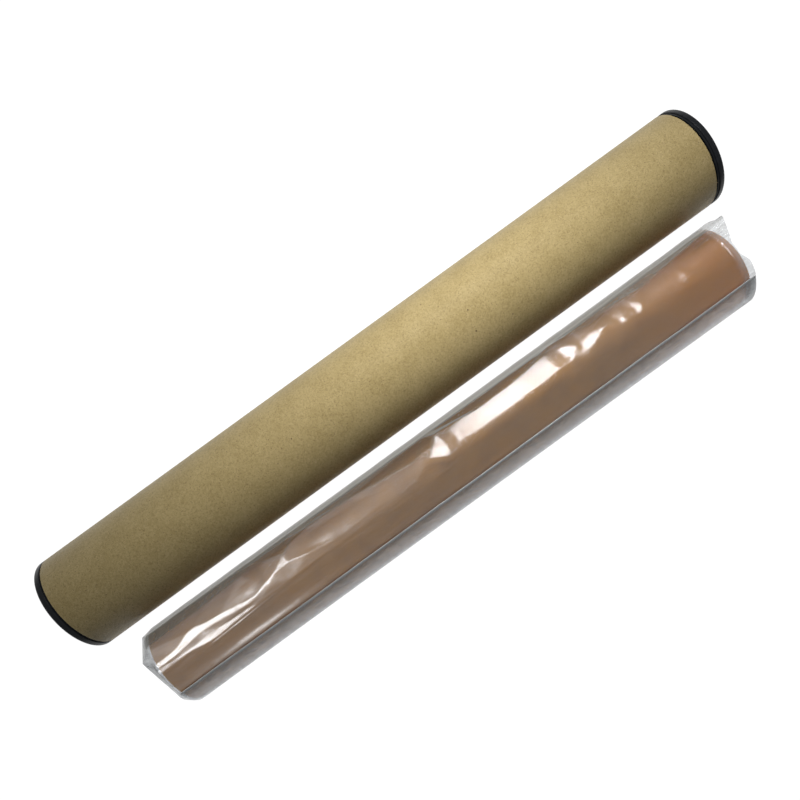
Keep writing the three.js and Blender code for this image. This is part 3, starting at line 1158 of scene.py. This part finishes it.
@dataclass(frozen=True)
class FilmSleeve:
    """The clear sleeve: creased along its loose side, tucked shut at one end, open at the other."""

    copper: float = 19.15
    tight: float = 19.5
    film: float = 0.05
    crease_width: float = 0.55
    lines: tuple[FoldLine, ...] = (
        FoldLine(((-158, -95, 19.55), (164, -95, 19.55))),
        FoldLine(((-158, -62, 20.2), (-110, -61, 20.25), (-70, -60, 20.2), (-3, -59, 20.25),
                  (67, -57.5, 20.3), (110, -59, 20.25), (164, -61, 20.2))),
        FoldLine(((-158, -43, 20.2), (-120, -45, 20.2), (-101, -47.5, 20.25), (-94.5, -54, 20.3),
                  (-89, -45, 20.35), (-79.6, -36, 20.45), (-76, -42.5, 20.35), (-74, -52.5, 20.25),
                  (-66, -49, 20.25), (-44, -46, 20.2), (-27.7, -38.6, 20.3), (-11.4, -32, 20.4),
                  (-7.1, -35.2, 20.5), (-4, -26.5, 20.36), (-1.3, -35.2, 20.24), (2.4, -46.8, 20.82),
                  (7.7, -39, 20.4), (15, -43.5, 20.76), (25.8, -40.3, 20.43), (32.8, -34.1, 20.0),
                  (37.4, -37.2, 20.19), (42.9, -40.5, 20.5), (55.7, -44, 21.0), (59.9, -52, 21.0),
                  (62.1, -44, 21.05), (65.4, -53.5, 21.3), (76, -51.8, 20.6), (84.8, -44.4, 20.4),
                  (94.2, -48.2, 20.3), (103.2, -46, 20.35), (112, -43, 20.3), (126, -48.7, 20.2),
                  (145.5, -55, 20.2), (164, -57, 20.2)), 0.16),
        FoldLine(((-5.7, -24, 20.6), (-1, -15, 20.3), (2.7, -10.8, 20.1))),
        FoldLine(((2.4, -46.8, 20.82), (4.2, -34, 19.45), (4.5, -21, 19.35), (2.7, -10.8, 20.1))),
        FoldLine(((7.7, -39, 20.4), (9.0, -26, 19.9), (8.5, -13, 20.35))),
        FoldLine(((8.5, -13, 20.35), (38, -11, 20.45), (57, -13, 20.55), (62, -15, 20.5))),
        FoldLine(((62.1, -44, 21.05), (61.8, -34, 20.3), (62, -15, 20.5))),
        FoldLine(((65.4, -53.5, 21.3), (66.5, -40, 19.95), (68, -28, 19.34), (70, -16.6, 19.7))),
        FoldLine(((65.4, -53.5, 21.3), (71.8, -39.7, 20.2), (75, -30.5, 20.0), (70, -16.6, 19.7))),
        FoldLine(((75.8, -29, 19.42), (75.9, -17, 19.67), (76.2, -6.4, 20.3))),
        FoldLine(((75.8, -29, 19.42), (82.3, -33.5, 20.2), (89.3, -27.8, 20.5), (80.5, -15.5, 20.24),
                  (76.2, -6.4, 20.3))),
        FoldLine(((96.0, -25, 19.5), (96.2, -17, 19.77))),
        FoldLine(((97.6, -27, 19.95), (97.9, -16.5, 20.25))),
        FoldLine(((103.2, -34, 19.55), (104.6, -24, 19.52), (104.2, -13, 19.95))),
        FoldLine(((103.2, -34, 19.55), (105.9, -31, 19.84), (107.6, -22.5, 20.17), (105.8, -13, 20.3))),
        FoldLine(((129.2, -22, 19.5), (129.5, -12, 20.0))),
        FoldLine(((130.5, -23, 19.9), (130.9, -12, 20.4))),
        FoldLine(((-1, -3, 19.5), (10, -2, 19.62), (38, -1, 19.62), (58, -2, 19.62), (76, 2, 19.5),
                  (92, -3, 19.4), (105, -3, 19.5), (118, -6, 19.38), (130.5, -1, 19.5),
                  (142, -6, 19.35))),
        FoldLine(((-52, -12, 19.4), (-35, -13, 19.42), (-15, -10, 19.5))),
        FoldLine(((-158, -17, 19.85), (-141.4, -17.5, 19.85), (-136.7, -20, 19.85), (-132.3, -26.5, 20.0),
                  (-129.1, -27.5, 20.05), (-122.4, -22.8, 20.0), (-116, -21, 19.95), (-104.6, -14.5, 19.8),
                  (-99, -13, 19.75), (-93.9, -18, 20.0), (-88, -22.6, 19.95), (-79.2, -24, 19.9),
                  (-71, -18, 19.75), (-62, -14, 19.5))),
        FoldLine(((-158, -12, 19.86), (-141, -12, 19.86), (-133, -15, 19.68), (-127, -17.5, 19.68),
                  (-118, -15.5, 19.86), (-106, -10.5, 19.87), (-99.5, -9.5, 19.8))),
        FoldLine(((-141, -8.5, 19.72), (-130, -8, 19.45), (-118, -8, 19.55), (-104, -7, 19.62))),
        FoldLine(((-158, -4, 19.95), (-133.3, -4.5, 19.7), (-127.7, -2, 19.85), (-122.2, 0, 19.98),
                  (-112, -3.5, 19.8), (-99.8, -4, 19.8), (-81.3, -4.2, 19.7), (-60, -5, 19.4))),
        FoldLine(((-95.6, -15.5, 19.9), (-93.0, -12, 19.93), (-91.0, -15.5, 19.98), (-93.9, -18, 20.0))),
        FoldLine(((-158, 12, 19.28), (164, 12, 19.28))),
        FoldLine(((-158, 42, 19.5), (164, 42, 19.5))),
    )
    mouth: Outline = Outline(
        (-150.0, -80.0, -59.0, -20.0, -2.0, 12.0, 31.0, 43.0, 62.0, 82.0, 130.0, 180.0, 210.0),
        (7.0, 6.5, 7.8, 0.6, 0.2, 2.6, 2.8, 1.9, 0.8, 2.0, 3.6, 2.6, 7.0))
    tuck: Outline = Outline((-150.0, -78.0, -29.0, 45.0, 82.0, 135.0, 175.0, 210.0),
                            (18.6, 19.0, 19.2, 18.9, 18.8, 18.5, 18.6, 18.6))
    tuck_reach: tuple[float, ...] = (3.2, 4.4, 5.1, 2.8, 3.7, 2.6, 2.9, 3.2)
    bands: tuple[tuple[float, float, float], ...] = (
        (-115.0, -66.0, 3.5), (-66.0, -54.0, 2.0), (-54.0, 2.0, 0.8), (2.0, 42.0, 2.5),
        (42.0, 245.0, 7.0))
    ring_count: int = 318
    low_overlap: float = 0.5
    mouth_inset: float = 3.0
    clearance: float = 0.12
    snugness: float = 14.0
    soft_passes: tuple[int, int] = (60, 3)
    soft_from: tuple[float, float] = (-24.0, 10.0)
    waves: int = 9
    wave_height: float = 0.022
    wave_seed: int = 20
    wave_length: tuple[float, float] = (9.0, 34.0)
    wave_lean: float = 0.5
    swell_length: float = 31.0
    wave_arc: tuple[float, float] = (-128.0, 36.0)
    wave_fade: tuple[float, float] = (20.0, 50.0)
    gathering: float = 0.93
    pleats: float = 5.5
    pleat_height: float = 0.35
    tuck_depth: float = 3.4
    tuck_draw: float = 0.9
    tuck_bend: float = 0.75
    lifts: tuple[tuple[float, float, float], ...] = ((-59.0, 13.0, 1.1), (31.0, 16.0, 0.6))
    lift_bend: float = 1.5
    flutter_height: float = 0.22
    flutters: float = 7.0
    mouth_clearance: float = 0.3

    def build(self) -> None:
        """Makes the sleeve and hangs it on its own body."""
        axis = Axis.of("core_inner_ply")
        low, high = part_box("copper_foil")
        angles = self._angles()
        vertices = self._grid(axis, low.x / MM, high.x / MM, angles)
        rings, around = vertices.shape[:2]
        points = [tuple(p) for p in vertices.reshape(-1, 3)]
        points.append(tuple(vertices[0].mean(axis=0) - np.array([0.15 * MM, 0, 0])))
        faces: list[tuple[int, ...]] = list(woven_faces(rings, around, True))
        faces += [(j, (j + 1) % around, len(points) - 1) for j in range(around)]
        mesh = bpy.data.meshes.new("clear_sleeve")
        mesh.from_pydata(points, [], faces)
        mesh.flip_normals()
        self._whiten(mesh, axis)
        wrap = thicken(mesh, "clear_sleeve", self.film * MM)
        piece = new_piece("clear_sleeve", wrap, ClearFilm("clear_film").make())
        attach(piece, Body.SLEEVE.value)
        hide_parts("film_sleeve")
        LOG.info("clear_sleeve on %s", Body.SLEEVE.value)

    def _whiten(self, mesh: bpy.types.Mesh, axis: Axis) -> None:
        """Notes on the mesh where its marked creases are painted paler."""
        places = np.empty(len(mesh.vertices) * 3)
        mesh.vertices.foreach_get("co", places)
        x, y, z = places.reshape(-1, 3).T / MM
        angle = np.arctan2(axis.y / MM - y, z - axis.z / MM)
        total = 0 * x
        for line in self.lines:
            if line.white:
                near = line.nearness(x, angle, self.tight, self.crease_width)
                total = np.maximum(total, line.white * near)
        pressed = mesh.attributes.new("pressed", "FLOAT", "POINT")
        pressed.data.foreach_set("value", total)

    def _angles(self) -> np.ndarray:
        """The angles round the sleeve, closest together where the film is creased."""
        spans = [np.arange(start, stop - 0.01, step) for start, stop, step in self.bands]
        return np.radians(np.concatenate(spans))

    def _grid(self, axis: Axis, low: float, high: float, angles: np.ndarray) -> np.ndarray:
        """The sleeve's points, ring by ring from the tucked end to the mouth."""
        body = np.linspace(low - self.low_overlap, high - self.mouth_inset, self.ring_count)
        x, turned = np.meshgrid(body, angles, indexing="ij")
        spread = self._spread(x, turned)
        rings = [axis.points(x * MM, spread * MM, turned)]
        rings.insert(0, self._tucked(axis, low, angles, spread[0]))
        rings.append(self._mouth(axis, high, angles, spread[-1]))
        return np.concatenate(rings, axis=0)

    def _spread(self, x: np.ndarray, angle: np.ndarray) -> np.ndarray:
        """The film's distance from the axis over the straight part, in millimetres."""
        strung = FacetNet(self.lines).distance(x, angle)
        snug = self.copper + self.clearance
        out = np.where(strung > 0, strung, self.tight)
        out = snug + np.logaddexp(0, (out - snug) * self.snugness) / self.snugness
        out += self._rippled(x, angle)
        crisp = self._soften(out, 1, 1)
        soft = self._soften(out, *self.soft_passes)
        start, width = self.soft_from
        eased = np.clip((np.degrees(angle) - start) / width, 0, 1) * np.clip(x / width, 0, 1)
        return crisp + (soft - crisp) * eased

    @staticmethod
    def _soften(out: np.ndarray, around: int, along: int) -> np.ndarray:
        """Rounds the creases, so many times round the sleeve and so many along it."""
        for _ in range(around):
            out = (np.roll(out, 1, 1) + 2 * out + np.roll(out, -1, 1)) / 4
        for _ in range(along):
            inner = (out[:-2] + 2 * out[1:-1] + out[2:]) / 4
            out = np.concatenate([out[:1], inner, out[-1:]], axis=0)
        return out

    def _rippled(self, x: np.ndarray, angle: np.ndarray) -> np.ndarray:
        """Gentle seeded waves, stronger on the loose side."""
        rng = np.random.default_rng(self.wave_seed)
        (foot, top), (foot_fade, top_fade) = np.radians([self.wave_arc, self.wave_fade])
        loose = np.clip((top - angle) / top_fade, 0, 1)
        loose *= np.clip((angle - foot) / foot_fade, 0, 1)
        total = 0 * angle
        for _ in range(self.waves):
            length = rng.uniform(*self.wave_length)
            lean = rng.uniform(-self.wave_lean, self.wave_lean)
            phase = rng.uniform(0, FULL_TURN)
            swell = np.sin(x / self.swell_length + phase * 2)
            along = x + lean * angle * self.copper
            total += self.wave_height * swell * np.sin(FULL_TURN * along / length + phase)
        return total * loose

    def _degrees(self, angles: np.ndarray) -> np.ndarray:
        """Angles in degrees, counted from the outlines' first one."""
        first = self.mouth.angles[0]
        return (np.degrees(angles) - first) % 360.0 + first

    def _tucked(self, axis: Axis, low: float, angles: np.ndarray, start: np.ndarray) -> np.ndarray:
        """The shut end: the film pulled in to a seam with straight edges, then gathered to the middle."""
        reach = Outline(self.tuck.angles, self.tuck_reach)
        degrees = self._degrees(angles)
        seam = self._straight(degrees, self.tuck)
        out = reach.at(degrees)
        rings = []
        for share in np.linspace(0, 1, 9)[::-1]:
            inward = 1 - share * self.gathering
            fold = np.abs(np.sin(np.radians(degrees) * self.pleats))
            pleat = self.pleat_height * share * (1 - share) * fold
            x = low - out - pleat + share * (out - self.tuck_depth) * self.tuck_draw
            rings.append(axis.points(x * MM, seam * inward * MM, angles))
        for share in np.linspace(0, 1, 6)[1:-1]:
            radius = seam + (start - seam) * share ** self.tuck_bend
            x = low - out * (1 - share) - self.low_overlap * share
            rings.append(axis.points(x * MM, radius * MM, angles))
        return np.array(rings)

    @staticmethod
    def _straight(degrees: np.ndarray, corners: Outline) -> np.ndarray:
        """A ring of straight edges between corners."""
        out = 0 * degrees
        radians = np.radians(degrees)
        places = np.radians(np.array(corners.angles))
        for i in range(len(places) - 1):
            inside = (radians >= places[i]) & (radians <= places[i + 1])
            line = line_between(radians, places[i], corners.values[i], places[i + 1], corners.values[i + 1])
            out = np.where(inside, line, out)
        return out

    def _mouth(self, axis: Axis, high: float, angles: np.ndarray, start: np.ndarray) -> np.ndarray:
        """The open end: an uneven rim with two lifted corners."""
        degrees = self._degrees(angles)
        reach = self.mouth.at(degrees)
        lift = sum(height * np.exp(-((degrees - middle) / width) ** 2)
                   for middle, width, height in self.lifts)
        rings = []
        for share in np.linspace(0, 1, 12)[1:]:
            flutter = self.flutter_height * share * np.sin(np.radians(degrees) * self.flutters + 0.8)
            radius = np.maximum(start + (lift + flutter) * share ** self.lift_bend,
                                self.copper + self.mouth_clearance)
            x = high - self.mouth_inset + (reach + self.mouth_inset) * share
            rings.append(axis.points(x * MM, radius * MM, angles))
        return np.array(rings)


def thicken(mesh: bpy.types.Mesh, name: str, film: float) -> bpy.types.Mesh:
    """Gives an open sheet its thickness, inwards.

    Args:
        mesh: the sheet, its faces outwards.
        name: the new mesh's name.
        film: the thickness in metres.

    Returns:
        The closed mesh.
    """
    base = bpy.data.objects.new(name, mesh)
    bpy.context.scene.collection.objects.link(base)
    wall = base.modifiers.new("wall", "SOLIDIFY")
    wall.thickness = film
    wall.offset = -1
    return plain_copy(base, name)


@dataclass(frozen=True)
class FilmFold:
    """The sleeve's spare width, flattened and folded over round the underside."""

    start: float = 31.6
    start_drift: float = 2.4
    stop: float = 202.5
    lower: float = 19.82
    upper: float = 20.05
    bead: float = 0.2
    slack: float = 1.1
    # Painted highlight: how far from the fold's edge the film is painted white.
    highlight_width: float = 0.8
    film: float = 0.05
    low_reach: float = 0.4
    high_reach: float = 2.2
    ring_count: int = 120
    wavers: tuple[tuple[float, float, float], ...] = ((0.16, 17.0, 0.0), (0.09, 6.1, 1.0))
    waver_reach: float = 25.0
    lift: float = 0.05
    lift_length: float = 9.0
    sag_middle: float = 92.0
    sag_width: float = 26.0
    close_reach: float = 14.0
    layer_gap: float = 0.05
    step: float = 2.5

    def build(self) -> None:
        """Makes the folded film and hangs it on the sleeve."""
        axis = Axis.of("core_inner_ply")
        low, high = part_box("copper_foil")
        places = np.linspace(low.x / MM - self.low_reach, high.x / MM + self.high_reach, self.ring_count)
        radius, angle = self._section()
        share = (places - places[0]) / (places[-1] - places[0])
        waver = self.start_drift * share
        for height, length, phase in self.wavers:
            waver = waver + height * np.sin(places / length + phase)
        near = np.clip((self.start + self.waver_reach - np.degrees(angle)) / self.waver_reach, 0, 1)
        turned = angle[None, :] + np.radians(waver[:, None] * near[None, :])
        rise = self.lift * np.sin(places / self.lift_length)[:, None] * near[None, :]
        slung = np.exp(-((np.degrees(angle) - self.sag_middle) / self.sag_width) ** 2)
        rise = rise + self.slack * (share ** 1.5)[:, None] * slung[None, :]
        vertices = axis.points(places[:, None] * MM, (radius[None, :] + rise) * MM, turned)
        mesh = bpy.data.meshes.new("folded_film")
        faces = woven_faces(len(places), len(angle), False)
        mesh.from_pydata([tuple(p) for p in vertices.reshape(-1, 3)], [], faces)
        # Painted highlight: the film beside the fold's rounded edge is marked to be painted white.
        pressed = mesh.attributes.new("pressed", "FLOAT", "POINT")
        edge = (np.degrees(angle) < self.start + self.highlight_width).astype(float)
        pressed.data.foreach_set("value", np.tile(edge, len(places)))
        piece = new_piece("folded_film", thicken(mesh, "folded_film", self.film * MM),
                          ClearFilm("folded_clear_film", haze=0.11, edge_haze=0.10, shine=0.04,
                                    edge_on=0.14).make())
        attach(piece, Body.SLEEVE.value)
        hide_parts("film_fold")
        LOG.info("folded_film on %s", Body.SLEEVE.value)

    def _section(self) -> tuple[np.ndarray, np.ndarray]:
        """The fold's section: the under layer, the rounded edge, and the upper layer back.

        Returns:
            The distances out in millimetres, and the angles in radians.
        """
        middle = (self.lower + self.upper) / 2 + self.layer_gap
        under = np.radians(np.arange(self.stop, self.start + 1.5, -self.step))
        over = under[::-1]
        close = np.clip((np.degrees(under) - self.start) / self.close_reach, 0, 1)
        low = np.full(under.shape, self.lower) + (middle - self.bead - self.lower) * (1 - close)
        high = np.full(over.shape, self.upper) + (middle + self.bead - self.upper) * (1 - close[::-1])
        swing = np.radians(np.linspace(180, 0, 9)[1:-1])
        bead_radius = middle + self.bead * np.cos(swing)
        bead_angle = math.radians(self.start) - self.bead * np.sin(swing) / middle
        return np.concatenate([low, bead_radius, high]), np.concatenate([under, bead_angle, over])


# ---- Stage ---------------------------------------------------------------------------------------


class Reach(Enum):
    """Which part of a surface's look a lamp adds to."""

    MATTE = "matte"
    GLOSS = "gloss"


@dataclass(frozen=True)
class Lamp:
    """A soft rectangular light: where it hangs, where it points, and its size and power."""

    name: str
    place: tuple[float, float, float]
    aim: tuple[float, float, float]
    size: tuple[float, float]
    power: float
    reach: Reach
    film_only: bool = False

    def hang(self, film: bpy.types.Collection) -> None:
        """Adds the light to the scene.

        Args:
            film: the pieces that a film_only lamp lights.
        """
        data = bpy.data.lights.new(self.name, "AREA")
        data.shape = "RECTANGLE"
        data.size, data.size_y = self.size
        data.energy = self.power
        lamp = bpy.data.objects.new(self.name, data)
        lamp.location = self.place
        way = Vector(self.aim) - Vector(self.place)
        lamp.rotation_euler = way.to_track_quat("-Z", "Y").to_euler()
        lamp.visible_camera = False
        lamp.visible_diffuse = self.reach is Reach.MATTE
        lamp.visible_glossy = self.reach is Reach.GLOSS
        if self.film_only:
            lamp.light_linking.receiver_collection = film
        bpy.context.scene.collection.objects.link(lamp)


@dataclass(frozen=True)
class Stage:
    """The floor, the lights, the surroundings and the camera."""

    floor_half: float = 3.0
    lens: float = 30.23
    camera_place: tuple[float, float, float] = (-10.31 * MM, -3.69 * MM, 325.6 * MM)
    camera_turn: tuple[float, float, float] = (-2.969, -3.168, -36.019)
    shift: tuple[float, float] = (-0.0479, 0.0942)
    room: Colour = (0.92, 0.96, 1.0, 1.0)
    room_matte: float = 0.16
    clear_passes: int = 64
    room_gloss: float = 0.42
    film_pieces: tuple[str, ...] = ("clear_sleeve", "folded_film")
    lamps: tuple[Lamp, ...] = (
        Lamp("key_light", (0.055, 0.122, 0.208), (0.055, 0.023, 0.023), (0.12, 0.08), 0.435, Reach.MATTE),
        Lamp("key_glint", (0.108, 0.213, 0.25), (0.06, 0.0, 0.03), (0.14, 0.045), 0.21, Reach.GLOSS),
        Lamp("left_glint", (-0.221, 0.125, 0.275), (-0.1, -0.02, 0.03), (0.20, 0.09), 0.55, Reach.GLOSS,
             film_only=True),
        Lamp("front_glint", (-0.187, -0.235, 0.18), (-0.105, -0.04, 0.035), (0.05, 0.03), 0.045, Reach.GLOSS,
             film_only=True),
    )

    def build(self) -> None:
        """Sets the whole stage."""
        self._floor()
        self._surroundings()
        film = bpy.data.collections.new("film_in_lamp_light")
        for name in self.film_pieces:
            film.objects.link(bpy.data.objects[name])
        for lamp in self.lamps:
            lamp.hang(film)
        self._camera()

    def _floor(self) -> None:
        """Lays the floor under the set."""
        h = self.floor_half
        mesh = bpy.data.meshes.new("floor")
        mesh.from_pydata([(-h, -h, 0), (h, -h, 0), (h, h, 0), (-h, h, 0)], [], [(0, 1, 2, 3)])
        floor = new_piece("floor", mesh, PlainFloor().make())
        floor.visible_diffuse = False

    def _surroundings(self) -> None:
        """Gives the scene a dim room: paler towards the lamps' side and overhead."""
        world = bpy.data.worlds.new("soft_room")
        world.use_nodes = True
        world.node_tree.nodes.clear()
        g = Graph(world.node_tree)
        way = g.node("ShaderNodeSeparateXYZ", {}, {0: g.value("ShaderNodeTexCoord", output="Generated")})
        side, up = Value(g, way.outputs[1]), Value(g, way.outputs[2])
        matte = (side.eased(-0.7, 0.9) * 0.6 + up.eased(-0.1, 1.0) * 0.4) * self.room_matte
        gloss = (up.eased(-0.1, 0.5) * 0.35 + side.eased(-1.0, 1.0) * 0.2 + 0.55) * self.room_gloss
        seen = g.value("ShaderNodeLightPath", output="Is Glossy Ray")
        sky = g.node("ShaderNodeBackground", {}, {"Color": self.room,
                                                  "Strength": matte + seen * (gloss - matte)})
        g.node("ShaderNodeOutputWorld", {}, {"Surface": sky.outputs[0]})
        bpy.context.scene.world = world
        bpy.context.scene.cycles.transparent_max_bounces = self.clear_passes

    def _camera(self) -> None:
        """Adds the camera, looking down on the set."""
        data = bpy.data.cameras.new("camera")
        data.lens = self.lens
        data.shift_x, data.shift_y = self.shift
        data.clip_start = 0.01
        camera = bpy.data.objects.new("camera", data)
        camera.location = self.camera_place
        camera.rotation_euler = Euler([math.radians(a) for a in self.camera_turn])
        bpy.context.scene.collection.objects.link(camera)
        bpy.context.scene.camera = camera


def main() -> None:
    """Builds the set piece by piece, then the stage."""
    logging.basicConfig(level=logging.INFO, format="%(name)s: %(message)s")
    rolled = RolledSheet()
    StorageTube().build(rolled, PaperFibres())
    plastic = BlackPlastic().make()
    EndCap(End.LEFT, Body.CAP_LEFT, "cap_left", "end_cap_left").build(plastic)
    EndCap(End.RIGHT, Body.CAP_RIGHT, "cap_right", "end_cap_right").build(plastic)
    FoilRoll().build(rolled)
    FilmSleeve().build()
    FilmFold().build()
    Stage().build()
    bpy.context.scene.view_settings.view_transform = "Standard"
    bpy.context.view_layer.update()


if __name__ == "__main__":
    main()
